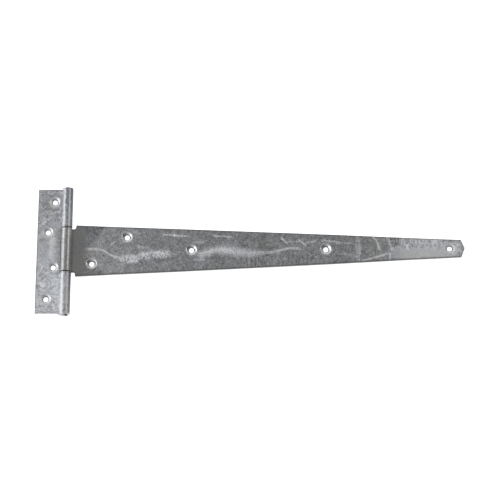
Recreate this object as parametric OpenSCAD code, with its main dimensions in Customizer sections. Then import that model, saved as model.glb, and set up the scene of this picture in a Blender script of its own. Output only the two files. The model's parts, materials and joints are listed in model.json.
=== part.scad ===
// Tee hinge for gates and shed doors, in millimetres.
// Two flat steel blanks are rolled into eyes around one loose pin: a short leaf that screws to the
// frame carries the two outer knuckles, and a long tapered strap carries the middle one.
// +X runs along the strap to its tip, +Y along the pin, and +Z out of the countersunk faces.
// Both back faces lie on Z = 0, and the origin is the foot of the pin's axis, halfway along the pin.

/* [Strap] */
// Length of the strap from the pin's axis to its tip
strap_length = 450; // [445:5:600]
// Width of the strap at its shoulders, beside the barrel
strap_root_w = 60; // [59:0.5:68]
// Width of the strap at the two corners of its tip
strap_tip_w = 20.5; // [18:0.5:30]
// How far the blunt point stands out past those corners
strap_point = 4; // [1:0.5:8]
// Distance from the pin's axis to the shoulders
shoulder_x = 10; // [9:0.5:14]
// Radius in the inner corner of each shoulder
shoulder_fillet = 2; // [0.5:0.5:3.5]
// Width of the strap's own knuckle
strap_knuckle_w = 50.8; // [44:0.4:52]

/* [Frame leaf] */
// Height of the leaf along the pin
leaf_height = 146; // [140:1:180]
// Distance from the pin's axis to the leaf's outer edge
leaf_reach = 34; // [31:1:50]
// Gap between the leaf's cut-out and the strap's knuckle
cutout_gap = 0.5; // [0.4:0.1:1]
// Radius in the inner corners of the cut-out
cutout_fillet = 1.5; // [0.5:0.5:3]

/* [Plate and pin] */
// Thickness of both plates
plate_t = 3.2; // [3:0.1:3.5]
// Diameter of the pin
pin_d = 5.5; // [5:0.1:6]
// Gap all round between the pin and the eyes
pin_clearance = 0.05; // [0.03:0.01:0.1]
// Gap along the pin between neighbouring knuckles
knuckle_gap = 0.6; // [0.4:0.1:1]
// Gap at the seam, where the rolled end comes back down to the plate
seam_gap = 0.3; // [0.2:0.1:0.6]
// Diameter of the hammered head at each end of the pin
pin_head_d = 7; // [6.6:0.1:8]
// How far the upper head stands out of the barrel
pin_top_h = 0.8; // [0.6:0.1:4]
// How far the lower head stands out of the barrel
pin_foot_h = 4; // [0.6:0.1:4]

/* [Screw holes] */
// Diameter of the straight land of every hole
hole_d = 5.8; // [5:0.1:6.5]
// Diameter of every countersink at the plate's face
countersink_d = 11.4; // [9:0.1:12]
// Height of the straight land under each countersink
hole_land = 0.4; // [0.2:0.1:1]
// Distance from the pin's axis to the leaf's inner column of holes
leaf_inner_x = 15; // [14.5:0.5:17]
// Distance from the pin's axis to the leaf's outer column of holes
leaf_outer_x = 22; // [20:0.5:24]
// Height of the first leaf hole above the middle of the pin, in the inner column
leaf_hole_1_y = 58; // [50:0.5:62]
// Height of the second leaf hole, in the outer column
leaf_hole_2_y = 22; // [15:0.5:30]
// Drop of the third leaf hole below the middle of the pin, in the inner column
leaf_hole_3_y = 19.5; // [15:0.5:30]
// Drop of the fourth leaf hole, in the outer column
leaf_hole_4_y = 56.5; // [50:0.5:62]
// Distance from the pin's axis to the strap's first hole, below its middle line
strap_hole_1_x = 28.5; // [24:0.5:34]
// Distance to the strap's second hole, above its middle line
strap_hole_2_x = 68; // [60:0.5:80]
// How far those two holes stand off the middle line
strap_stagger = 15.5; // [8:0.5:16]
// Distance to the third hole, on the middle line
strap_hole_3_x = 141; // [110:1:180]
// Distance to the fourth hole, on the middle line
strap_hole_4_x = 293; // [220:1:330]
// Distance from the tip back to the fifth hole, on the middle line
tip_to_hole_5 = 17; // [15:0.5:30]

/* [Hidden] */
$fn = 96;

// Rolled eyes: the plate runs on under the pin, round it and back down to its own face
eye_inner_r = pin_d / 2 + pin_clearance;
eye_outer_r = eye_inner_r + plate_t;
axis_z = eye_outer_r;
seam_angle = asin((axis_z - plate_t - seam_gap) / eye_outer_r);
roll_angle = 270 + seam_angle;

// Places along X and Y that follow from the driving dimensions
strap_corner_x = strap_length - strap_point;
cutout_x = eye_outer_r + cutout_gap;
cutout_w = strap_knuckle_w + 2 * knuckle_gap;
leaf_knuckle_w = (leaf_height - cutout_w) / 2;
leaf_knuckle_y = (leaf_height + cutout_w) / 4;

// Screw holes as [x, y]
leaf_holes = [
    [-leaf_inner_x, leaf_hole_1_y],
    [-leaf_outer_x, leaf_hole_2_y],
    [-leaf_inner_x, -leaf_hole_3_y],
    [-leaf_outer_x, -leaf_hole_4_y]
];
strap_holes = [
    [strap_hole_1_x, -strap_stagger],
    [strap_hole_2_x, strap_stagger],
    [strap_hole_3_x, 0],
    [strap_hole_4_x, 0],
    [strap_length - tip_to_hole_5, 0]
];

// How far a cutting tool runs past the face that it cuts
overcut = 0.1;

// One countersunk screw hole through the plate, opening on its front face
module screw_hole() {
    countersink_h = plate_t - hole_land;
    slope = (countersink_d - hole_d) / 2 / countersink_h;
    translate([0, 0, -overcut])
        cylinder(d = hole_d, h = plate_t + 2 * overcut);
    translate([0, 0, hole_land])
        cylinder(
            d1 = hole_d,
            d2 = countersink_d + 2 * overcut * slope,
            h = countersink_h + overcut
        );
}

// A plate of the outline given as a child, with a screw hole at each place in the list
module plate(holes) {
    difference() {
        linear_extrude(plate_t) children();
        for (place = holes)
            translate([place.x, place.y, 0]) screw_hole();
    }
}

// The rolled end of a plate that arrives from -X: under the axis, up, over and down to the seam
module rolled_eye(width) {
    translate([0, width / 2, axis_z])
        rotate([90, 0, 0])
            rotate_extrude(angle = roll_angle, start = -90)
                translate([eye_inner_r, 0]) square([plate_t, width]);
}

// Fills the square inner corner at the origin of the +X +Y quadrant with a concave radius
module corner_fillet(radius) {
    difference() {
        square(radius);
        translate([radius, radius]) circle(radius);
    }
}

// Half of the strap's outline, above its middle line
module half_strap_outline() {
    polygon([
        [0, 0],
        [strap_length, 0],
        [strap_corner_x, strap_tip_w / 2],
        [shoulder_x, strap_root_w / 2],
        [shoulder_x, strap_knuckle_w / 2],
        [0, strap_knuckle_w / 2]
    ]);
    translate([shoulder_x, strap_knuckle_w / 2])
        mirror([1, 0]) corner_fillet(shoulder_fillet);
}

module strap_outline() {
    half_strap_outline();
    mirror([0, 1]) half_strap_outline();
}

// Outline of the frame leaf: a rectangle with the cut-out that the strap's knuckle turns in
module leaf_outline() {
    difference() {
        translate([-leaf_reach, -leaf_height / 2])
            square([leaf_reach, leaf_height]);
        difference() {
            translate([-cutout_x, -cutout_w / 2])
                square([cutout_x + overcut, cutout_w]);
            for (side = [0, 1])
                mirror([0, side])
                    translate([-cutout_x, -cutout_w / 2]) corner_fillet(cutout_fillet);
        }
    }
}

// Leaf that screws to the frame or post, with the two outer knuckles
module frame_leaf() {
    color([0.66, 0.67, 0.69])
        union() {
            plate(leaf_holes) leaf_outline();
            for (side = [-1, 1])
                translate([0, side * leaf_knuckle_y, 0]) rolled_eye(leaf_knuckle_w);
        }
}

// Tapered strap that screws to the gate, with the middle knuckle
module strap() {
    color([0.5, 0.51, 0.52])
        union() {
            plate(strap_holes) strap_outline();
            mirror([1, 0, 0]) rolled_eye(strap_knuckle_w);
        }
}

// A hammered head that stands on Z = 0: a straight rim, then a chamfer worn by the hammer
module pin_head(height) {
    chamfer_h = min(height / 2, 0.8);
    cylinder(d = pin_head_d, h = height - chamfer_h);
    translate([0, 0, height - chamfer_h])
        cylinder(d1 = pin_head_d, d2 = pin_d - 1, h = chamfer_h);
}

// Pin through all three knuckles, hammered over at both ends so that it can't fall out
module hinge_pin() {
    color([0.4, 0.4, 0.42])
        translate([0, 0, axis_z])
            rotate([90, 0, 0]) {
                cylinder(d = pin_d, h = leaf_height, center = true);
                translate([0, 0, leaf_height / 2]) pin_head(pin_foot_h);
                mirror([0, 0, 1])
                    translate([0, 0, leaf_height / 2]) pin_head(pin_top_h);
            }
}

frame_leaf();
strap();
hinge_pin();
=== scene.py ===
"""Looks for the galvanised tee hinge.

Each leaf is made the way the real one is: a flat blank with sheared, zinc-rounded edges and
countersunk holes is meshed in its own (u, v, w), then its end is rolled into the eyes.
u runs away from the pin, v along the pin, and w up from the back face. Everything is in metres.
"""
import json
import math

import bmesh
import bpy
import numpy as np
from mathutils import Euler, Matrix, Vector, noise
from mathutils.geometry import delaunay_2d_cdt


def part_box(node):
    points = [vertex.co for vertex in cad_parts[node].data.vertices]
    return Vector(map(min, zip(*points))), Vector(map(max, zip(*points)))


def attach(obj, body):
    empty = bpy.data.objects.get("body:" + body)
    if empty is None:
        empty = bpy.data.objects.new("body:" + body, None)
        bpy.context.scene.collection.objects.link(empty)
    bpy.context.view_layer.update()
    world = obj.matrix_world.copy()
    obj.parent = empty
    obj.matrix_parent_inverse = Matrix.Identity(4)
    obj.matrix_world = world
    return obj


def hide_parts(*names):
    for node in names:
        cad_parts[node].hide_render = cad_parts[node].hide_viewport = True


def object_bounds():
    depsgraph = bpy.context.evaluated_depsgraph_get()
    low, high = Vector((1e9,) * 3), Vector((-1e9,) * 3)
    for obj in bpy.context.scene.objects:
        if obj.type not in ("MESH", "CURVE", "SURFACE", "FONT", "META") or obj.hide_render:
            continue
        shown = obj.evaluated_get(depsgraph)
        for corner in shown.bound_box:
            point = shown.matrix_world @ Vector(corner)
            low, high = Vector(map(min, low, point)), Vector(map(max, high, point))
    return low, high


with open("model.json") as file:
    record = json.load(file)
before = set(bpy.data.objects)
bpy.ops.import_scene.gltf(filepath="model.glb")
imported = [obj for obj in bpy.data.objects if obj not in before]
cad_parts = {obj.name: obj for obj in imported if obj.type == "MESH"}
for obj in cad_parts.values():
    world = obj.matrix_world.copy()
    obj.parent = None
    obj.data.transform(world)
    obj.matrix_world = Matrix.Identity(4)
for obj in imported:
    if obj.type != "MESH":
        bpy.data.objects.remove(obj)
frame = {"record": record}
cad_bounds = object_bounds()
record = frame["record"]
MM = 0.001

# ---------------------------------------------------------------- sizes
leaf_low, leaf_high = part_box("frame_leaf")
_, strap_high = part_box("strap")
pin_low, pin_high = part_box("hinge_pin")

AXIS_Z = record["behaviour"]["joints"][0]["pos_m"][2]
PLATE_T = 3.2 * MM
EYE_OUTER = AXIS_Z
EYE_INNER = EYE_OUTER - PLATE_T
SEAM_GAP = 0.3 * MM
ROLL_ANGLE = math.radians(270) + math.asin((EYE_INNER - SEAM_GAP) / EYE_OUTER)
ROLL_LENGTH = ROLL_ANGLE * (EYE_INNER + EYE_OUTER) / 2

LEAF_HALF = leaf_high.y
LEAF_REACH = -leaf_low.x
STRAP_LENGTH = strap_high.x
STRAP_ROOT_HALF = strap_high.y
STRAP_TIP_HALF = 10.25 * MM
STRAP_POINT = 4 * MM
SHOULDER_U = 10 * MM
SHOULDER_FILLET = 2 * MM
KNUCKLE_HALF = 25.4 * MM
KNUCKLE_GAP = 0.6 * MM
CUTOUT_U = EYE_OUTER + 0.5 * MM
CUTOUT_FILLET = 1.5 * MM
PIN_R = 2.75 * MM
COUNTERSINK_R = 5.7 * MM
HOLE_LAND = 0.4 * MM

# Radii left on the sheared edges and corners by the die and the zinc
FRONT_EDGE_R = 0.6 * MM
BACK_EDGE_R = 0.35 * MM
CORNER_R = 0.7 * MM
ROLLED_CORNER_R = 0.75 * MM
POINT_R = 0.9 * MM

# How much of an edge, and of a hole, the mesh line where it meets the flat face counts as
EDGE_FADE = 0.55
BORE_FADE = 0.4

# How far the zinc, the straightening and the hammer take the surfaces from true
SKIN_WIDE = 0.035 * MM
SKIN_FINE = 0.012 * MM
STRAP_WAVE = 0.22 * MM
STRAP_RIPPLE = 0.07 * MM
STRAP_RAGGED = 0.06 * MM
STRAP_BELLY = 0.28 * MM
STRAP_DRAW_IN = 0.2 * MM
LEAF_RAGGED = 0.07 * MM
DRIP = 0.42 * MM
SAG = 0.5 * MM
BEAD = 2.3 * MM
BEAD_RAGGED = 0.3 * MM
HAMMERED = 0.22 * MM

# Mesh spacing on the flats, round the roll, on the corners' arcs, and round the holes and the pin
GRID = 1.6 * MM
ROLL_STEP = ROLL_LENGTH / 56
ARC_STEP = 0.4 * MM
HOLE_SEGMENTS = 56
PIN_SEGMENTS = 48
# Twice the area under which a triangle along a straight edge is only rounding
SLIVER = 1e-5 * MM * MM


def hole_places(*names):
    """The centres (x, y) of the screw holes that these mounts of the record state."""
    places = []
    for mount in record["mounts"]:
        if mount["name"] not in names:
            continue
        x, y = mount["pos_m"][:2]
        dims = mount["dims"]
        dx = dims.get("spacing_x_mm", 0) * MM / 2
        dy = dims.get("spacing_y_mm", 0) * MM / 2
        for end in (-1, 1):
            place = (x + end * dx, y + end * dy)
            if all(math.dist(place, other) > MM for other in places):
                places.append(place)
    return places


HOLE_R = record["mounts"][0]["dims"]["hole_r_mm"] * MM
LEAF_HOLES = hole_places("leaf_holes_inner", "leaf_holes_outer")
ROOT_HOLE_X = (28.5 * MM, 68 * MM)
ROOT_HOLE_Y = 15.5 * MM
STRAP_HOLES = [(ROOT_HOLE_X[0], -ROOT_HOLE_Y), (ROOT_HOLE_X[1], ROOT_HOLE_Y)]
STRAP_HOLES += hole_places("strap_holes_middle", "strap_holes_tip")


# ---------------------------------------------------------------- outlines
def rounded_outline(corners, step):
    """A closed outline through (u, v, radius) corners, each turned on an arc of its radius."""
    points = []
    count = len(corners)
    for i, (u, v, radius) in enumerate(corners):
        corner = np.array((u, v))
        before = np.array(corners[i - 1][:2]) - corner
        after = np.array(corners[(i + 1) % count][:2]) - corner
        before /= np.linalg.norm(before)
        after /= np.linalg.norm(after)
        half = math.acos(np.clip(before @ after, -1, 1)) / 2
        if radius <= 0:
            points.append(corner)
            continue
        run = radius / math.tan(half)
        middle = corner + (before + after) / np.linalg.norm(before + after) * radius / math.sin(half)
        start = corner + before * run - middle
        end = corner + after * run - middle
        turn = math.atan2(start[0] * end[1] - start[1] * end[0], start @ end)
        steps = max(4, round(abs(turn) * radius / step))
        for k in range(steps + 1):
            a = turn * k / steps
            c, s = math.cos(a), math.sin(a)
            points.append(middle + (c * start[0] - s * start[1], s * start[0] + c * start[1]))
    return np.array(points)


def u_lines(reach):
    """Where the mesh lines lie along u: fine round the roll, then even out to the blank's end."""
    roll = np.arange(-ROLL_LENGTH, -ROLL_STEP / 2, ROLL_STEP)
    return np.concatenate([roll, np.arange(0, reach, GRID)])


def subdivided(points, lines):
    """The outline with points where it crosses the mesh lines and at even steps along v."""
    out = []
    for p, q in zip(points, np.roll(points, -1, axis=0)):
        out.append(p)
        across = q - p
        length = np.linalg.norm(across)
        if length < GRID * 0.6 and abs(across[0]) < ROLL_STEP:
            continue
        if abs(across[0]) > abs(across[1]):
            low, high = sorted((p[0], q[0]))
            margin = ROLL_STEP * 0.35
            at = [(u - p[0]) / across[0] for u in lines if low + margin < u < high - margin]
            out += [p + across * t for t in sorted(at)]
        else:
            parts = max(1, round(length / GRID))
            out += [p + across * k / parts for k in range(1, parts)]
    return np.array(out)


def inward_normals(points):
    """A mitred normal at each point of a closed outline, into an anticlockwise one."""
    ahead = np.roll(points, -1, axis=0) - points
    ahead /= np.linalg.norm(ahead, axis=1)[:, None]
    left = np.stack([-ahead[:, 1], ahead[:, 0]], axis=1)
    both = left + np.roll(left, 1, axis=0)
    return 2 * both / (both**2).sum(axis=1)[:, None]


def edge_profile(back_r, front_r, steps=4):
    """(inset, w) down a rounded plate edge, from the back face round to the front face."""
    turns = [math.pi / 2 * k / steps for k in range(steps + 1)]
    back = [(back_r * (1 - math.sin(a)), back_r * (1 - math.cos(a))) for a in turns]
    front = [(front_r * (1 - math.cos(a)), PLATE_T - front_r * (1 - math.sin(a))) for a in turns]
    return back + front


def hole_profile():
    """(radius, w) through a countersunk hole, from the back face to the front face."""
    slope = (COUNTERSINK_R - HOLE_R) / (PLATE_T - HOLE_LAND)
    lip = 0.35 * MM
    return [
        (HOLE_R + 0.22 * MM, 0.0),
        (HOLE_R + 0.06 * MM, 0.05 * MM),
        (HOLE_R, 0.18 * MM),
        (HOLE_R, HOLE_LAND),
        (HOLE_R + 0.3 * MM * slope, HOLE_LAND + 0.3 * MM),
        ((HOLE_R + COUNTERSINK_R) / 2, (HOLE_LAND + PLATE_T) / 2),
        (COUNTERSINK_R - lip * slope, PLATE_T - lip),
        (COUNTERSINK_R - 0.02 * MM, PLATE_T - 0.1 * MM),
        (COUNTERSINK_R + 0.18 * MM, PLATE_T - 0.01 * MM),
        (COUNTERSINK_R + 0.4 * MM, PLATE_T),
    ]


# ---------------------------------------------------------------- meshing a blank
def inside(points, outline):
    """True for each point that lies inside a closed outline."""
    result = np.zeros(len(points), bool)
    for a, b in zip(outline, np.roll(outline, -1, axis=0)):
        crosses = (a[1] > points[:, 1]) != (b[1] > points[:, 1])
        if a[1] != b[1]:
            cut = (b[0] - a[0]) * (points[:, 1] - a[1]) / (b[1] - a[1]) + a[0]
            result ^= crosses & (points[:, 0] < cut)
    return result


def gap_to(points, outline):
    """Distance from each point to the nearest edge of a closed outline."""
    best = np.full(len(points), 1e9)
    for a, b in zip(outline, np.roll(outline, -1, axis=0)):
        along = b - a
        t = np.clip(((points - a) @ along) / (along @ along), 0, 1)
        best = np.minimum(best, np.linalg.norm(points - a - t[:, None] * along, axis=1))
    return best


def face_points(outline, rings, lines):
    """Mesh points for a face inside its outline and clear of its hole rings."""
    low, high = outline.min(axis=0), outline.max(axis=0)
    flat_u = [u for u in lines if u > -ROLL_STEP / 2]
    roll_u = [u for u in lines if u <= -ROLL_STEP / 2]
    flat_v = np.arange(low[1] + GRID / 2, high[1], GRID)
    roll_v = np.arange(low[1] + GRID, high[1], 2.2 * GRID)
    grid = [(u, v) for u in flat_u for v in flat_v] + [(u, v) for u in roll_u for v in roll_v]
    points = np.array(grid)
    points = points[inside(points, outline)]
    clear = np.where(points[:, 0] < 0, ROLL_STEP * 0.6, GRID * 0.5)
    points = points[gap_to(points, outline) > clear]
    for ring in rings:
        points = points[~inside(points, ring)]
        points = points[gap_to(points, ring) > GRID * 0.5]
    return points


def fill_face(outline, rings, lines):
    """Triangles over an outline with holes. Returns the extra points and the triangles, numbered
    along the outline, then the rings, then the extra points."""
    extra = face_points(outline, rings, lines)
    loops = [outline, *rings]
    points = np.concatenate([*loops, extra])
    edges, start = [], 0
    for loop in loops:
        count = len(loop)
        edges += [(start + k, start + (k + 1) % count) for k in range(count)]
        start += count
    vectors = [Vector((float(u) / MM, float(v) / MM)) for u, v in points]
    made = delaunay_2d_cdt(vectors, edges, [], 1, 1e-7, True)
    source = [ids[0] for ids in made[3]]
    triangles = [tuple(source[i] for i in face) for face in made[2]]
    corners = points[np.array(triangles)]
    middles = corners.mean(axis=1)
    first, second = corners[:, 1] - corners[:, 0], corners[:, 2] - corners[:, 0]
    doubled = np.abs(first[:, 0] * second[:, 1] - first[:, 1] * second[:, 0])
    keep = inside(middles, outline) & (doubled > SLIVER)
    for ring in rings:
        keep &= ~inside(middles, ring)
    return extra, [t for t, ok in zip(triangles, keep) if ok]


def smooth_noise(x, y, z, size):
    """Noise from -1 to 1 whose bumps are about that size."""
    return noise.noise(Vector((x / size, y / size, z / size)))


class Blank:
    """A flat blank being meshed: its vertices in (u, v, w), its faces, and how much of an edge
    or of a hole each vertex is."""

    def __init__(self):
        self.vertices = []
        self.faces = []
        self.edge = []
        self.bore = []

    def add(self, points, w, edge=0.0, bore=0.0):
        first = len(self.vertices)
        self.vertices += [(float(u), float(v), w) for u, v in points]
        self.edge += [edge] * len(points)
        self.bore += [bore] * len(points)
        return list(range(first, first + len(points)))

    def join(self, lower, upper):
        count = len(lower)
        for k in range(count):
            n = (k + 1) % count
            self.faces.append((lower[k], lower[n], upper[n], upper[k]))

    def add_wall(self, outline):
        """The sheared edge all round. Returns its rings on the back and on the front face."""
        normals = inward_normals(outline)
        rings, shapes = [], []
        profile = edge_profile(BACK_EDGE_R, FRONT_EDGE_R)
        for k, (inset, w) in enumerate(profile):
            last = k in (0, len(profile) - 1)
            shape = outline + normals * inset
            rings.append(self.add(shape, w, edge=EDGE_FADE if last else 1.0))
            shapes.append(shape)
        for lower, upper in zip(rings, rings[1:]):
            self.join(lower, upper)
        return (rings[0], shapes[0]), (rings[-1], shapes[-1])

    def add_hole(self, centre, seed):
        """One countersunk hole, a little out of round, as the punch and the zinc leave it."""
        angles = [2 * math.pi * k / HOLE_SEGMENTS for k in range(HOLE_SEGMENTS)]
        rings, shapes = [], []
        profile = hole_profile()
        for k, (radius, w) in enumerate(profile):
            upper = w > HOLE_LAND * 1.5
            shape = []
            for a in angles:
                c, s = math.cos(a), math.sin(a)
                ragged = smooth_noise(c, s, seed * 3.7, 0.9) * (0.16 if upper else 0.05) * MM
                shape.append((centre[0] + c * (radius + ragged), centre[1] + s * (radius + ragged)))
            last = k in (0, len(profile) - 1)
            rings.append(self.add(shape, w, edge=0.0, bore=BORE_FADE if last else 1.0))
            shapes.append(np.array(shape))
        for lower, upper in zip(rings, rings[1:]):
            self.join(upper, lower)
        return (rings[0], shapes[0]), (rings[-1], shapes[-1])

    def cap(self, wall, holes, lines, w):
        """The flat face between the wall's ring and the holes' rings."""
        extra, triangles = fill_face(wall[1], [shape for _, shape in holes], lines)
        numbers = wall[0] + [i for ring, _ in holes for i in ring]
        numbers += self.add(extra, w)
        for t in triangles:
            self.faces.append(tuple(numbers[i] for i in t))


def rolled(u, v, w):
    """Where a point of the flat blank goes once its end is rolled: (away from the pin, v, z)."""
    if u >= 0:
        return u, v, w
    angle = -math.pi / 2 - u / ROLL_LENGTH * ROLL_ANGLE
    radius = EYE_OUTER - w
    return -radius * math.cos(angle), v, AXIS_Z + radius * math.sin(angle)


def add_object(name, data):
    """A new object in the scene that shows this data."""
    made = bpy.data.objects.new(name, data)
    bpy.context.scene.collection.objects.link(made)
    return made


def build_leaf(name, outline, holes, reach, shape_of, side):
    """Meshes a blank, shapes it, rolls it, and lays it on the side of the pin that it belongs to."""
    lines = u_lines(reach)
    outline = subdivided(outline, lines)
    blank = Blank()
    back, front = blank.add_wall(outline)
    made = [blank.add_hole((side * x, y), k + 1) for k, (x, y) in enumerate(holes)]
    blank.cap(back, [hole[0] for hole in made], lines, 0.0)
    blank.cap(front, [hole[1] for hole in made], lines, PLATE_T)
    places = []
    for u, v, w in blank.vertices:
        away, y, z = rolled(*shape_of(u, v, w))
        places.append((side * away, y, z))
    mesh = bpy.data.meshes.new(name)
    mesh.from_pydata(places, [], blank.faces)
    for label, values in (("edge", blank.edge), ("bore", blank.bore)):
        layer = mesh.attributes.new(label, "FLOAT", "POINT")
        layer.data.foreach_set("value", values)
    work = bmesh.new()
    work.from_mesh(mesh)
    bmesh.ops.recalc_face_normals(work, faces=work.faces)
    bmesh.ops.join_triangles(
        work,
        faces=[f for f in work.faces if len(f.verts) == 3],
        angle_face_threshold=math.radians(1),
        angle_shape_threshold=math.radians(12),
    )
    work.to_mesh(mesh)
    work.free()
    mesh.shade_smooth()
    piece = add_object(name, mesh)
    weighted = piece.modifiers.new("even_shading", "WEIGHTED_NORMAL")
    weighted.weight = 90
    weighted.keep_sharp = True
    return piece


# ---------------------------------------------------------------- the two leaves and the pin
def faded(value, start, end):
    """0 at start and before, 1 at end and after, smooth between."""
    t = min(max((value - start) / (end - start), 0.0), 1.0)
    return t * t * (3 - 2 * t)


def zinc_skin(u, v, w, seed):
    """How far the zinc stands proud or thin at a point of a face."""
    face = 1 if w > PLATE_T / 2 else -1
    wide = smooth_noise(u, v, seed + face * 0.3, 11 * MM) * SKIN_WIDE
    fine = smooth_noise(u, v, seed - face * 0.7, 4 * MM) * SKIN_FINE
    return face * (wide + fine)


def strap_shape(u, v, w):
    """The strap's slight hand-straightened waves, its uneven zinc, and the way that its sides
    belly out a little at mid-length and draw in near the tip."""
    free = faded(u, 16 * MM, 60 * MM)
    wave = smooth_noise(u, 0.4 * v, 0.31, 95 * MM) * STRAP_WAVE
    wave += smooth_noise(u, v, 0.83, 38 * MM) * STRAP_RIPPLE
    plate = faded(u, 8 * MM, 14 * MM)
    ragged = smooth_noise(u, v, 0.57, 7 * MM) * STRAP_RAGGED * plate
    belly = STRAP_BELLY * faded(u, 40 * MM, 150 * MM)
    belly -= (STRAP_BELLY + STRAP_DRAW_IN) * faded(u, 290 * MM, 400 * MM)
    outer = min(max(v / (8 * MM), -1), 1)
    v += outer * (ragged + belly)
    return u, v, w + max(wave, -0.1 * MM) * free + zinc_skin(u, v, w, 0.21) * plate


def leaf_shape(u, v, w):
    """The frame leaf's uneven zinc, which ran down and set in low drips along its lower edge and
    in a bead round the foot of its lower knuckle."""
    plate = faded(u, 8 * MM, 13 * MM)
    outer = faded(u, 24 * MM, LEAF_REACH)
    u += smooth_noise(u, v, 0.77, 9 * MM) * LEAF_RAGGED * outer
    drip = 0.5 + 0.5 * math.sin(u / (1.75 * MM) + 1.2) + 0.6 * smooth_noise(u, 0, 0.9, 3 * MM)
    low = faded(-v, LEAF_HALF - 3 * MM, LEAF_HALF)
    sag = SAG * smooth_noise(u, 0, 0.2, 6 * MM)
    bead = BEAD + BEAD_RAGGED * smooth_noise(u, 0, 0.5, 5 * MM)
    at_eye = 1 - faded(u, 5.5 * MM, 10 * MM)
    v -= low * (plate * (DRIP * max(drip, 0) + sag) + at_eye * bead)
    return u, v, w + zinc_skin(u, v, w, 0.47) * plate


def make_strap():
    half = KNUCKLE_HALF
    corner_u = STRAP_LENGTH - STRAP_POINT
    lower = [
        (-ROLL_LENGTH, -half, ROLLED_CORNER_R),
        (SHOULDER_U, -half, SHOULDER_FILLET),
        (SHOULDER_U, -STRAP_ROOT_HALF, CORNER_R),
        (corner_u, -STRAP_TIP_HALF, CORNER_R),
    ]
    tip = [(STRAP_LENGTH, 0, POINT_R)]
    upper = [(u, -v, radius) for u, v, radius in reversed(lower)]
    outline = rounded_outline(lower + tip + upper, ARC_STEP)
    return build_leaf("strap_body", outline, STRAP_HOLES, STRAP_LENGTH, strap_shape, 1)


def make_frame_leaf():
    half = KNUCKLE_HALF + KNUCKLE_GAP
    upper = [
        (LEAF_REACH, LEAF_HALF, CORNER_R),
        (-ROLL_LENGTH, LEAF_HALF, ROLLED_CORNER_R),
        (-ROLL_LENGTH, half, ROLLED_CORNER_R),
        (CUTOUT_U, half, CUTOUT_FILLET),
    ]
    lower = [(u, -v, radius) for u, v, radius in reversed(upper)]
    outline = rounded_outline(upper + lower, ARC_STEP)
    return build_leaf("frame_leaf_body", outline, LEAF_HOLES, LEAF_REACH, leaf_shape, -1)


def head_profile(base, end, shank_r, head_r):
    """(y, radius) of a hammered head, from the shank out over its rim to its domed end."""
    out = 1 if end > base else -1
    height = abs(end - base)
    dome = min(height * 0.55, 0.9 * MM)
    profile = [(base + out * 0.02 * MM, shank_r), (base + out * 0.04 * MM, head_r - 0.15 * MM)]
    profile.append((base + out * 0.2 * MM, head_r))
    profile.append((end - out * dome, head_r))
    for k in range(1, 9):
        a = math.pi / 2 * k / 9
        profile.append((end - out * dome * (1 - math.sin(a)), head_r * math.cos(a) ** 0.7))
    return profile


def make_pin():
    """The pin, turned about its axis, with both ends hammered over and thick with zinc."""
    head_r = pin_high.x
    foot = head_profile(-LEAF_HALF, pin_low.y, PIN_R, head_r)
    top = head_profile(LEAF_HALF, pin_high.y, PIN_R, head_r)
    profile = foot[::-1] + top
    work = bmesh.new()
    rings = []
    for y, radius in profile:
        ring = []
        for k in range(PIN_SEGMENTS):
            a = 2 * math.pi * k / PIN_SEGMENTS
            c, s = math.cos(a), math.sin(a)
            headed = faded(abs(y), LEAF_HALF + 0.1 * MM, LEAF_HALF + 0.5 * MM)
            beaten = smooth_noise(c * radius, y, s * radius, 2.2 * MM) * HAMMERED * headed
            r = min(radius + beaten, head_r)
            ring.append(work.verts.new((c * r, y, AXIS_Z + s * r)))
        rings.append(ring)
    for lower, upper in zip(rings, rings[1:]):
        for k in range(PIN_SEGMENTS):
            n = (k + 1) % PIN_SEGMENTS
            work.faces.new((lower[k], lower[n], upper[n], upper[k]))
    for ring, y in ((rings[0], pin_low.y), (rings[-1], pin_high.y)):
        tip = work.verts.new((0, y, AXIS_Z))
        for k in range(PIN_SEGMENTS):
            work.faces.new((ring[k], ring[(k + 1) % PIN_SEGMENTS], tip))
    bmesh.ops.recalc_face_normals(work, faces=work.faces)
    mesh = bpy.data.meshes.new("hinge_pin_body")
    work.to_mesh(mesh)
    work.free()
    mesh.shade_smooth()
    return add_object("hinge_pin_body", mesh)


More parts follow.
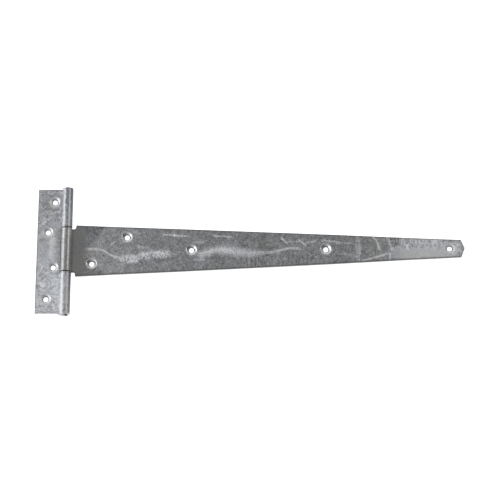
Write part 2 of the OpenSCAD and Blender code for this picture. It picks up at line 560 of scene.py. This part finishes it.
# ---------------------------------------------------------------- materials
class Shader:
    """A node material, written as nested calls that each return a socket."""

    def __init__(self, name):
        self.material = bpy.data.materials.new(name)
        self.material.use_nodes = True
        self.tree = self.material.node_tree
        self.tree.nodes.clear()
        self.output = self.tree.nodes.new("ShaderNodeOutputMaterial")
        self.surface = self.tree.nodes.new("ShaderNodeBsdfPrincipled")
        self.tree.links.new(self.surface.outputs[0], self.output.inputs[0])
        self.place = self.node("ShaderNodeTexCoord").outputs["Object"]

    def node(self, kind, **settings):
        """A new node of that kind with those properties."""
        made = self.tree.nodes.new(kind)
        for key, value in settings.items():
            setattr(made, key, value)
        return made

    def feed(self, socket, value):
        """Links a socket to the input, or sets a number or colour on it."""
        if isinstance(value, bpy.types.NodeSocket):
            self.tree.links.new(value, socket)
        elif socket.type == "VECTOR":
            socket.default_value = value[:3]
        else:
            socket.default_value = value

    def math(self, operation, a, b=0.0, c=0.0):
        made = self.node("ShaderNodeMath", operation=operation)
        for socket, value in zip(made.inputs, (a, b, c)):
            self.feed(socket, value)
        return made.outputs[0]

    def times(self, a, b):
        return self.math("MULTIPLY", a, b)

    def larger(self, a, b):
        return self.math("MAXIMUM", a, b)

    def remap(self, value, low, high, to_low=0.0, to_high=1.0, ease="SMOOTHSTEP"):
        """Takes low to to_low and high to to_high, and holds those ends beyond them."""
        made = self.node("ShaderNodeMapRange", interpolation_type=ease)
        for socket, number in zip(made.inputs, (value, low, high, to_low, to_high)):
            self.feed(socket, number)
        return made.outputs[0]

    def mix(self, factor, a, b):
        """Colour a where the factor is 0, and b where it is 1."""
        made = self.node("ShaderNodeMix", data_type="RGBA")
        self.feed(made.inputs[0], factor)
        self.feed(made.inputs[6], a)
        self.feed(made.inputs[7], b)
        return made.outputs[2]

    def noise(self, size, detail=3.0, rough=0.55, twist=0.0, place=None, stretch=(1, 1, 1)):
        mapping = self.node("ShaderNodeMapping")
        self.feed(mapping.inputs["Vector"], place or self.place)
        mapping.inputs["Scale"].default_value = [s / size for s in stretch]
        made = self.node("ShaderNodeTexNoise")
        self.feed(made.inputs["Vector"], mapping.outputs[0])
        settings = {"Scale": 1.0, "Detail": detail, "Roughness": rough, "Distortion": twist}
        for label, value in settings.items():
            made.inputs[label].default_value = value
        return made

    def axes(self, place=None):
        """The X, Y and Z of a place, or of the point being shaded."""
        made = self.node("ShaderNodeSeparateXYZ")
        self.feed(made.inputs[0], place or self.place)
        return made.outputs

    def curve(self, value, low, high, points):
        """A smooth curve through given (place, height) points, heights from 0 to 1."""
        made = self.node("ShaderNodeFloatCurve")
        self.feed(made.inputs["Value"], self.remap(value, low, high, ease="LINEAR"))
        line = made.mapping.curves[0]
        for k, (at, height) in enumerate(points):
            spot = ((at - low) / (high - low), height)
            if k < 2:
                line.points[k].location = spot
            else:
                line.points.new(*spot)
        made.mapping.update()
        return made.outputs[0]

    def track(self, value, points):
        """A smooth curve along the strap through (x, y) points in mm, y within 15 mm of zero."""
        reach = 15
        scaled = [(x * MM, (y + reach) / (2 * reach)) for x, y in points]
        height = self.curve(value, 0, STRAP_LENGTH, scaled)
        return self.remap(height, 0.0, 1.0, -reach * MM, reach * MM, ease="LINEAR")

    def clamp(self, value):
        made = self.node("ShaderNodeClamp")
        self.feed(made.inputs[0], value)
        return made.outputs[0]

    def blend(self, factor, a, b):
        """Number a where the factor is 0, and b where it is 1."""
        made = self.node("ShaderNodeMix", data_type="FLOAT")
        for index, value in ((0, factor), (2, a), (3, b)):
            self.feed(made.inputs[index], value)
        return made.outputs[0]

    def vector(self, operation, a, b=None, scale=None):
        made = self.node("ShaderNodeVectorMath", operation=operation)
        self.feed(made.inputs[0], a)
        if b is not None:
            self.feed(made.inputs[1], b)
        if scale is not None:
            self.feed(made.inputs["Scale"], scale)
        return made.outputs["Value" if operation in ("DOT_PRODUCT", "DISTANCE") else "Vector"]

    def stroke(self, place, start, end, width):
        """A soft streak between two (x, y) points in mm, tapered at both ends, from 0 to 1."""
        x, y = start[0] * MM, start[1] * MM
        way = Vector((end[0] * MM - x, end[1] * MM - y, 0))
        from_start = self.vector("MULTIPLY", self.vector("SUBTRACT", place, (x, y, 0)), (1, 1, 0))
        t = self.clamp(self.vector("DOT_PRODUCT", from_start, way / way.length_squared))
        nearest = self.vector("SCALE", tuple(way), scale=t)
        off = self.vector("DISTANCE", from_start, nearest)
        taper = self.times(t, self.math("SUBTRACT", 1.0, t))
        near = self.remap(off, 0.0, width * MM, 1.0, 0.0)
        return self.times(near, self.remap(taper, 0.0, 0.16))

    def total(self, *terms):
        """The sum of the terms, each a socket or a number, or a (weight, socket) pair."""
        result = None
        for term in terms:
            weight, value = term if isinstance(term, tuple) else (1.0, term)
            if result is None and weight == 1.0:
                result = value
            else:
                result = self.math("MULTIPLY_ADD", value, weight, 0.0 if result is None else result)
        return result

    def speckle(self, size, **settings):
        """Noise stretched to run from -1 to 1."""
        return self.remap(self.noise(size, **settings).outputs["Fac"], 0.3, 0.7, -1.0, 1.0)

    def attribute(self, name):
        return self.node("ShaderNodeAttribute", attribute_name=name).outputs["Fac"]

    def shifted(self, size, amount):
        """The place, pushed about in X and Y by noise of that size."""
        push = self.noise(size, detail=2.0).outputs["Color"]
        centred = self.vector("SUBTRACT", push, (0.5, 0.5, 0.5))
        moved = self.vector("MULTIPLY", centred, (amount, amount, 0))
        return self.vector("ADD", self.place, moved)


def curls(s, size, width, **settings):
    """Fine frosty curls: the ridge lines of noise, from 0 to 1."""
    field = s.noise(size, detail=1.5, rough=0.5, **settings).outputs["Fac"]
    off = s.math("ABSOLUTE", s.math("SUBTRACT", field, 0.5))
    return s.remap(off, 0.0, width, 1.0, 0.0)


def finish_zinc(s, frost, dark, light, edge_shade_tone, bore_tone, bore_rough, shade=1.0, chalk=None):
    """Turns a frost map into zinc: smooth dark metal where it is 0, pale crystalline where it is 1.
    The shade factor darkens its colour as painted shade, as along a rolled eye, and chalk is where it
    has weathered dull."""
    edge = s.attribute("edge")
    bore = s.attribute("bore")
    frost = s.clamp(frost)
    hue = s.remap(s.noise(19 * MM, detail=2.0).outputs["Fac"], 0.35, 0.65)
    tint = s.mix(hue, (0.985, 0.998, 1.015, 1), (1.01, 1.0, 0.985, 1))
    colour = s.mix(frost, dark, light)
    colour = s.vector("MULTIPLY", colour, tint)
    # Painted shade: the colour is scaled down by the shade factor.
    colour = s.vector("SCALE", colour, scale=shade)
    # Painted shade and dark reflection along the sheared edges: the colour there goes to the edge
    # tone.
    colour = s.mix(s.times(edge, 0.85), colour, edge_shade_tone)
    # Painted shade down the holes: the bore colour darkens towards the back face.
    hole_depth_shade = s.remap(s.axes()[2], 0.8 * MM, 1.7 * MM, 0.2, 1.0)
    colour = s.mix(bore, colour, s.vector("SCALE", bore_tone, scale=hole_depth_shade))
    s.feed(s.surface.inputs["Base Color"], colour)
    s.surface.inputs["Metallic"].default_value = 1.0
    if chalk is not None:
        s.feed(s.surface.inputs["Metallic"], s.total(1.0, (-0.75, chalk)))
    rough = s.remap(frost, 0.0, 1.0, 0.34, 0.6)
    s.feed(s.surface.inputs["Roughness"], s.blend(bore, rough, bore_rough))
    pits = s.noise(0.8 * MM, detail=3.0, rough=0.6).outputs["Fac"]
    relief = s.node("ShaderNodeBump")
    relief.inputs["Strength"].default_value = 0.4
    relief.inputs["Distance"].default_value = 0.14 * MM
    s.feed(relief.inputs["Height"], s.total((0.3, pits), (0.7, frost)))
    s.feed(s.surface.inputs["Normal"], relief.outputs[0])
    return s.material


# Streaks on the strap, apart from its long run: start and end in mm, width in mm, strength
STRAP_STROKES = (
    ((49, 6), (57, 12), 1.8, 0.4),
    ((78, 5), (94, 3.5), 2.2, 0.45),
    ((73, 23), (85, 19), 1.8, 0.35),
    ((105, 18.5), (141, 15.5), 1.8, 0.75),
    ((141, 9), (158, 8.5), 1.8, 0.4),
    ((140, -11.5), (158, -12), 1.8, 0.4),
    ((163, 16.5), (188, 15), 1.7, 0.7),
    ((241, 14), (251, 7), 1.5, 0.65),
    ((246, 9.5), (265, 9), 1.5, 0.5),
    ((262, 12.5), (272, 2.5), 1.5, 0.8),
    ((269, 7), (284, 10), 1.6, 0.45),
    ((287, 10.5), (310, 8), 2.0, 0.5),
    ((300, 8.5), (324, 6.5), 1.6, 0.4),
    ((308, -5), (324, -7.5), 1.6, 0.35),
    ((328, 17), (328, -15), 1.7, 0.35),
    ((328, 17), (333, -1), 1.8, 0.45),
    ((333, 3), (329, -16), 1.8, 0.45),
    ((330.5, 15), (330.5, -14), 3.2, 0.25),
    ((344, 17), (352, 7), 1.9, 0.6),
    ((350, 10), (354, -3), 1.9, 0.6),
    ((361, 17), (366, 6), 1.9, 0.6),
    ((364, 9), (369, -3), 1.9, 0.55),
    ((365, -4), (365, -15), 1.8, 0.5),
    ((330, -14.5), (366, -5.5), 2.2, 0.65),
    ((379, 11), (383, 5), 1.7, 0.35),
    ((384, 7), (386, -2), 1.7, 0.35),
    ((394, 10), (396, 4), 1.7, 0.25),
)


def eye_top(s):
    """1 on the part of the eyes that stands over the plate, 0 on the plate."""
    return s.remap(s.axes()[2], PLATE_T + 0.5 * MM, PLATE_T + 2 * MM)


def barrel_flank(s):
    """1 on the flank of the barrel that stands over the leaf, 0 elsewhere."""
    x, _, z = s.axes()[:3]
    standing = s.remap(z, PLATE_T + 0.15 * MM, PLATE_T + 0.6 * MM)
    return s.times(standing, s.remap(x, -4.7 * MM, -3.4 * MM, 1.0, 0.0))


def pooled_zinc(s):
    """1 on the lower side of every countersink, where the zinc ran down and pooled, 0 elsewhere."""
    normal = s.node("ShaderNodeTexCoord").outputs["Normal"]
    return s.times(s.attribute("bore"), s.remap(s.axes(normal)[1], -0.15, 0.4))


def strap_run(s, ragged):
    """The long wandering run of pale zinc down the strap: hairy before the third hole, then a
    smooth crest."""
    x = s.axes()[0]
    y = s.axes(s.shifted(14 * MM, 3 * MM))[1]
    middle = s.track(
        x,
        [
            (0, 2.3), (24, 2.3), (32, 2.3), (41, 0.5), (48, -3.7), (58, -7.9), (66, -8.5), (77, -8),
            (89, -4), (100, -3), (111, -3), (130, -4.5), (150, -4.2), (163, -1.2), (176, 0.9),
            (188, -0.9), (201, -2.5), (216, -3), (232, -2.7), (244, 0.1), (255, 1.3), (270, 0.8),
            (450, 0),
        ],
    )
    strength = s.curve(
        x, 0, STRAP_LENGTH,
        [
            (0, 0), (0.018, 0), (0.026, 0.6), (0.055, 0.7), (0.075, 0.95), (0.112, 1.0),
            (0.12, 0.05), (0.143, 0.02), (0.152, 0.9), (0.2, 0.85), (0.23, 0.6), (0.258, 0.7),
            (0.268, 0), (0.33, 0), (STRAP_LENGTH, 0),
        ],
    )
    width = s.curve(
        x, 0, STRAP_LENGTH,
        [
            (0, 0.15), (0.06, 0.25), (0.08, 0.6), (0.11, 0.6), (0.15, 0.8), (0.19, 0.95),
            (0.215, 0.7), (0.235, 0.2), (STRAP_LENGTH, 0.2),
        ],
    )
    off = s.math("ABSOLUTE", s.math("SUBTRACT", y, middle))
    crest = s.remap(off, 0.3 * MM, 1.5 * MM, 0.85, 0.0)
    below = s.math("ABSOLUTE", s.math("ADD", s.math("SUBTRACT", y, middle), 1.2 * MM))
    glow = s.remap(s.math("DIVIDE", below, s.times(width, 9 * MM)), 0.0, 1.0, 0.75, 0.0)

    hanging = s.math("ADD", s.math("SUBTRACT", s.axes(ragged)[1], middle), 2 * MM)
    needles = s.noise(2.0 * MM, detail=2.0, twist=0.8, stretch=(1.6, 0.7, 1)).outputs["Fac"]
    near_root = s.times(s.remap(x, 52 * MM, 66 * MM), s.remap(x, 116 * MM, 122 * MM, 1.0, 0.0))
    fringe = s.remap(s.math("ABSOLUTE", hanging), 2.5 * MM, 7 * MM, 1.0, 0.0)
    fringe = s.times(fringe, s.remap(needles, 0.46, 0.56))
    fringe = s.times(fringe, near_root)
    gaps = s.remap(needles, 0.38, 0.52, 0.35, 1.0)
    glow = s.times(glow, s.blend(near_root, 1.0, gaps))
    return s.times(s.larger(s.larger(crest, glow), fringe), strength)


def strap_material():
    s = Shader("zinc_strap")
    ragged = s.shifted(5 * MM, 4 * MM)
    flow = s.shifted(12 * MM, 12 * MM)
    x, y, z = s.axes()[:3]
    eye = eye_top(s)

    # How frosty the zinc is along the strap: bare by the barrel, palest towards the tip
    wobble = s.axes(s.shifted(12 * MM, 7 * MM))[0]
    bow = s.times(s.times(y, y), 28.0)
    upper = s.times(s.remap(x, 0.3, 0.34), s.remap(y, -1 * MM, 5 * MM))
    along = s.curve(
        s.total(wobble, (-1.0, bow), (-0.007, upper)), 0, STRAP_LENGTH,
        [
            (0, 0.12), (0.018, 0.12), (0.03, 0.32), (0.06, 0.29), (0.12, 0.24), (0.2, 0.22),
            (0.3, 0.225), (0.346, 0.225), (0.358, 0.26), (0.366, 0.42), (0.374, 0.54), (0.4, 0.64),
            (STRAP_LENGTH, 0.62),
        ],
    )
    along = s.total(along, (0.12, eye))

    # How lively its texture is: dull by the barrel and on the smooth pale part, lively between
    bare = s.larger(s.remap(x, 16 * MM, 26 * MM, 0.15, 1.0), s.times(eye, 0.7))
    calm = s.times(s.remap(x, 0.358, 0.37), s.remap(y, -3 * MM, 3 * MM, 0.55, 0.0))
    calm = s.times(calm, s.remap(x, 0.42, 0.435, 1.0, 0.0))
    lively = s.times(bare, s.remap(x, 120 * MM, 150 * MM, 1.0, 0.9))
    lively = s.times(lively, s.math("SUBTRACT", 1.0, calm))
    texture = s.total(
        (0.05, s.speckle(22 * MM, detail=3.0, twist=0.6)),
        (0.08, s.speckle(2.2 * MM, detail=2.0, place=flow, stretch=(1.8, 0.7, 1))),
        (0.15, s.speckle(1.3 * MM, detail=2.0)),
        (0.16, curls(s, 5.5 * MM, 0.055, place=flow)),
        (-0.1, curls(s, 8 * MM, 0.06, place=flow)),
    )
    ripple_zone = s.times(s.remap(x, 0.185, 0.21), s.remap(x, 0.265, 0.285, 1.0, 0.0))
    ripple_zone = s.times(ripple_zone, s.remap(y, -10 * MM, 1 * MM, 1.0, 0.0))
    ripples = s.speckle(2.4 * MM, detail=1.0, place=ragged, stretch=(1.2, 0.2, 1))
    crust_zone = s.times(s.remap(x, 0.362, 0.37), s.remap(y, -2 * MM, 3 * MM))
    crust_zone = s.larger(crust_zone, s.remap(x, 0.425, 0.435))
    crust = s.speckle(1.9 * MM, detail=2.0, place=ragged, stretch=(1.2, 0.6, 1))
    crust = s.total(crust, (0.5, s.speckle(5 * MM, detail=2.0)))

    streaks = strap_run(s, ragged)
    for start, end, width, strength in STRAP_STROKES:
        mark = s.times(s.stroke(ragged, start, end, width), strength)
        streaks = s.larger(streaks, mark)
    broken = s.noise(1.8 * MM, detail=3.0).outputs["Fac"]
    broken = s.remap(broken, 0.36, 0.56, s.remap(x, 0.1, 0.25, 0.45, 0.75), 1.05)
    front = s.remap(z, 1.0 * MM, 2.6 * MM)
    streaks = s.times(streaks, s.times(broken, front))
    frost = s.total(
        along,
        s.times(texture, lively),
        (0.1, s.times(ripples, ripple_zone)),
        (0.23, s.times(crust, crust_zone)),
        (-0.06, crust_zone),
        (0.82, streaks),
    )
    near_tip = s.remap(x, 0.35, 0.42)
    near_barrel = s.remap(x, 14 * MM, 24 * MM, 1.0, 0.0)
    dull = s.times(near_tip, s.attribute("bore"))
    dull = s.larger(dull, s.times(pooled_zinc(s), 0.85))
    return finish_zinc(
        s, frost,
        dark=s.mix(near_barrel, (0.212, 0.214, 0.217, 1), (0.208, 0.206, 0.195, 1)),
        light=(0.93, 0.94, 0.96, 1),
        # Painted edge shade: the strap's sheared edges are darkened to this tone.
        edge_shade_tone=(0.12, 0.12, 0.12, 1),
        bore_tone=s.mix(near_tip, (0.87, 0.88, 0.9, 1), (0.78, 0.78, 0.8, 1)),
        bore_rough=s.blend(near_tip, 0.25, 0.75),
        # Painted shade: the eyes' tops are darkened a little.
        shade=s.total(1.0, (-0.06, eye)),
        chalk=s.larger(barrel_flank(s), dull),
    )


def leaf_material():
    s = Shader("zinc_leaf")
    x, y = s.axes()[:2]
    ragged = s.shifted(6 * MM, 6 * MM)
    flow = s.shifted(11 * MM, 20 * MM)
    lively = s.remap(y, -24 * MM, -14 * MM, 1.0, 0.55)
    lively = s.larger(lively, s.remap(y, 22 * MM, 34 * MM))
    texture = s.total(
        (0.1, s.speckle(2.4 * MM, detail=2.0, place=flow, stretch=(0.5, 1.2, 1))),
        (0.16, s.speckle(1.4 * MM, detail=2.0)),
        (0.34, curls(s, 4.2 * MM, 0.09, place=flow, stretch=(0.6, 1.2, 1))),
        (-0.3, curls(s, 5.2 * MM, 0.08, place=flow, stretch=(0.7, 1.1, 1))),
    )
    frost = s.total(
        s.remap(y, -LEAF_HALF, LEAF_HALF, 0.66, 0.31),
        (0.07, s.speckle(14 * MM, detail=3.0, twist=2.0)),
        s.times(texture, lively),
        (0.3, s.stroke(ragged, (-17, -10), (-17, 22), 5)),
        (0.25, s.stroke(ragged, (-10, -28), (-10, -60), 6)),
        (-0.22, s.stroke(ragged, (-8.5, -30), (-8.5, 30), 3.5)),
        (-0.15, s.stroke(ragged, (-30, 50), (-16, 70), 8)),
    )
    eye = eye_top(s)
    # Painted shade: the eyes' tops are darkened, and their far side from the key light much more.
    far_side_shade = s.times(eye, s.remap(x, 3.4 * MM, 5.0 * MM))
    shade = s.total(1.0, (-0.28, eye), (-0.46, far_side_shade))
    foot = s.remap(y, -LEAF_HALF + 3 * MM, -LEAF_HALF + 10 * MM, 1.0, 0.0)
    return finish_zinc(
        s, frost,
        dark=(0.35, 0.36, 0.385, 1),
        light=(0.97, 0.98, 1.0, 1),
        # Painted edge shade: the leaf's sheared edges are darkened, lighter near the foot along the
        # zinc drips.
        edge_shade_tone=s.mix(foot, (0.17, 0.17, 0.18, 1), (0.6, 0.6, 0.62, 1)),
        bore_tone=(0.82, 0.82, 0.83, 1),
        bore_rough=0.5,
        shade=shade,
        chalk=s.larger(barrel_flank(s), s.times(pooled_zinc(s), 0.85)),
    )


def pin_material():
    """Zinc-coated, with painted shade: each hammered end goes dark on its +X side, away from the key
    light.
    """
    s = Shader("zinc_pin")
    x = s.axes()[0]
    # Painted shade: the frost, and with it the colour, falls to dark towards +X.
    frost = s.total(s.remap(x, 0.4 * MM, 1.8 * MM, 0.7, 0.0), (0.15, s.speckle(2 * MM)))
    return finish_zinc(
        s, frost, (0.07, 0.07, 0.07, 1), (0.6, 0.6, 0.61, 1),
        edge_shade_tone=(0.2, 0.2, 0.2, 1), bore_tone=(0.2, 0.2, 0.2, 1), bore_rough=0.4,
    )


def floor_material():
    """A white sweep that is lit from within, as a light table is, so that it holds no shadow."""
    s = Shader("pale_floor")
    tone = s.noise(0.4, detail=2.0).outputs["Fac"]
    colour = s.mix(tone, (0.93, 0.93, 0.93, 1), (0.95, 0.95, 0.95, 1))
    s.feed(s.surface.inputs["Base Color"], colour)
    s.surface.inputs["Roughness"].default_value = 0.9
    s.surface.inputs["Specular IOR Level"].default_value = 0.1
    s.feed(s.surface.inputs["Emission Color"], colour)
    s.surface.inputs["Emission Strength"].default_value = 0.88
    return s.material


# ---------------------------------------------------------------- stage
FLOOR_SIZE = 12.0
FLOOR_GAP = 0.15 * MM


def make_floor():
    work = bmesh.new()
    bmesh.ops.create_grid(work, x_segments=2, y_segments=2, size=FLOOR_SIZE / 2)
    mesh = bpy.data.meshes.new("floor")
    work.to_mesh(mesh)
    work.free()
    mesh.materials.append(floor_material())
    floor = add_object("floor", mesh)
    floor.location.z = cad_bounds[0][2] - FLOOR_GAP


def make_camera():
    """Looks down on the countersunk faces from a little below, as the photograph does."""
    elevation, roll = math.radians(73.07), math.radians(-0.35)
    distance = 1.664
    aim = Vector(((leaf_low.x + strap_high.x) / 2 - 0.8 * MM, 0.4 * MM, 0))
    back = Vector((0, -math.cos(elevation), math.sin(elevation)))
    data = bpy.data.cameras.new("camera")
    data.sensor_width = 36
    data.lens = 105.8
    camera = add_object("camera", data)
    turn = Euler((math.pi / 2 - elevation, 0, 0)).to_matrix() @ Matrix.Rotation(roll, 3, "Z")
    camera.matrix_world = Matrix.Translation(aim + back * distance) @ turn.to_4x4()
    bpy.context.scene.camera = camera


def add_softbox(name, azimuth, elevation, distance, width, height, power):
    """A soft light that aims at the middle of the hinge. Azimuth 0 is +X and turns towards +Y."""
    aim = Vector(((leaf_low.x + strap_high.x) / 2, 0, 0))
    a, e = math.radians(azimuth), math.radians(elevation)
    away = Vector((math.cos(a) * math.cos(e), math.sin(a) * math.cos(e), math.sin(e)))
    data = bpy.data.lights.new(name, "AREA")
    data.shape = "RECTANGLE"
    data.size, data.size_y = width, height
    data.energy = power
    turn = away.to_track_quat("Z", "Y").to_matrix().to_4x4()
    lamp = add_object(name, data)
    lamp.matrix_world = Matrix.Translation(aim + away * distance) @ turn


def make_world():
    """An even grey room, a little brighter behind and to the left than in front."""
    world = bpy.data.worlds.new("studio")
    world.use_nodes = True
    tree = world.node_tree
    background = tree.nodes["Background"]
    background.inputs[0].default_value = (0.985, 0.99, 1.0, 1)
    way = tree.nodes.new("ShaderNodeTexCoord").outputs["Generated"]
    toward = tree.nodes.new("ShaderNodeVectorMath")
    toward.operation = "DOT_PRODUCT"
    tree.links.new(way, toward.inputs[0])
    toward.inputs[1].default_value = (-0.87, 0.23, 0.0)
    level = tree.nodes.new("ShaderNodeMapRange")
    tree.links.new(toward.outputs["Value"], level.inputs["Value"])
    for socket, number in zip(level.inputs[1:], (-0.9, 0.9, 0.02, 0.8)):
        socket.default_value = number
    tree.links.new(level.outputs[0], background.inputs[1])
    bpy.context.scene.world = world


def light_studio():
    make_world()
    add_softbox("key_left", azimuth=176, elevation=18, distance=2.6, width=3.4, height=1.5, power=30)
    add_softbox("fill_right", azimuth=22, elevation=42, distance=3.0, width=1.6, height=1.3, power=16)
    bpy.context.scene.view_settings.view_transform = "Standard"


# ---------------------------------------------------------------- assembly
PIECES = (
    (make_frame_leaf, leaf_material, "frame_leaf", "frame_side", "zinc_leaf"),
    (make_strap, strap_material, "strap", "gate_side", "zinc_strap"),
    (make_pin, pin_material, "hinge_pin", "frame_side", "zinc_pin"),
)
make_camera()
make_floor()
light_studio()
for make_piece, make_material, node, body, slot in PIECES:
    piece = make_piece()
    piece.data.materials.append(make_material())
    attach(piece, body)
    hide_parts(node)
